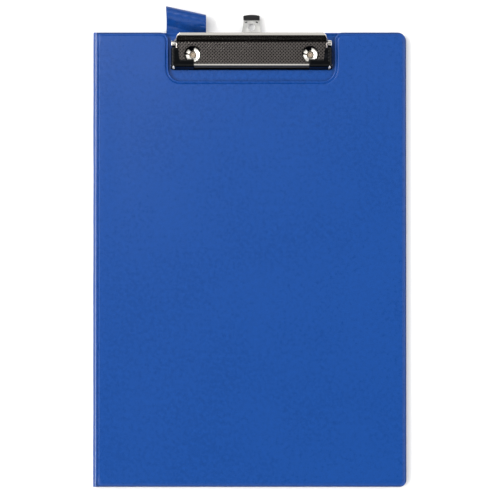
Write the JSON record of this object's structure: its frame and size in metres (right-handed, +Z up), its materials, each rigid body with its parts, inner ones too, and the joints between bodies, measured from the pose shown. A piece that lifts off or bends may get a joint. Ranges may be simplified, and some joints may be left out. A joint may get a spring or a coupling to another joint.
{
  "type": "clipboard folder",
  "caption": "Fold-over clipboard folder with a notched front cover, sprung lever clip with corner grips, pull-out hanging tab and pen loop.",
  "frame": {"origin": "middle of the back cover's outer face, which the shut folder lies on; X and Y are centred on the shut folder's outline with its spine", "axes": "+Z up out of the front cover, +Y along the long side towards the clip, +X away from the spine"},
  "size_m": [0.23, 0.353, 0.0158],
  "materials": {
    "blue_pvc": "fine-grained soft blue PVC sheet, satin",
    "blue_lining": "fine-grained blue PVC lining, satin",
    "greyboard": "plain grey bookbinding board",
    "nickel_plate": "bright nickel-plated pressed steel",
    "spring_steel": "bright drawn spring wire",
    "black_rubber": "moulded black rubber, slightly glossy",
    "black_plastic": "moulded black plastic"
  },
  "bodies": {
    "back": {"back_outer_skin": "blue_pvc", "back_board": "greyboard", "back_inner_lining": "blue_lining", "pen_loop": "blue_pvc", "clip_base_plate": "nickel_plate", "rivet_left": "nickel_plate", "rivet_right": "nickel_plate", "pivot_rod": "nickel_plate", "spring_left": "spring_steel", "spring_right": "spring_steel"},
    "spine": {"spine_outer_skin": "blue_pvc", "spine_inner_lining": "blue_lining"},
    "cover": {"front_outer_skin": "blue_pvc", "front_board": "greyboard", "front_inner_lining": "blue_lining", "inside_pocket": "blue_lining"},
    "lever": {"pressure_lever": "nickel_plate", "grip_left": "black_rubber", "grip_right": "black_rubber"},
    "hanger": {"hanging_tab": "nickel_plate", "hanging_tab_tip": "black_plastic"}
  },
  "joints": [
    {"name": "spine_fold", "type": "hinge", "parent": "back", "child": "spine", "pos_m": [-0.11387, 0, 0.00113], "axis": [0, -1, 0], "range_deg": [0, 179.9], "deforming": ["spine_outer_skin", "spine_inner_lining"]},
    {"name": "cover_fold", "type": "hinge", "parent": "spine", "child": "cover", "pos_m": [-0.11387, 0, 0.00467], "axis": [0, -1, 0], "range_deg": [0, 179.9]},
    {"name": "lever_press", "type": "hinge", "parent": "back", "child": "lever", "pos_m": [0.00145, 0.1583, 0.0069], "axis": [-1, 0, 0], "range_deg": [0, 28], "stiffness_Nm_per_rad": 0.25, "springref_deg": -68.75, "deforming": ["spring_left", "spring_right"]},
    {"name": "tab_slide", "type": "slide", "parent": "back", "child": "hanger", "axis": [0, -1, 0], "range_m": [0, 0.0068]}
  ]
}
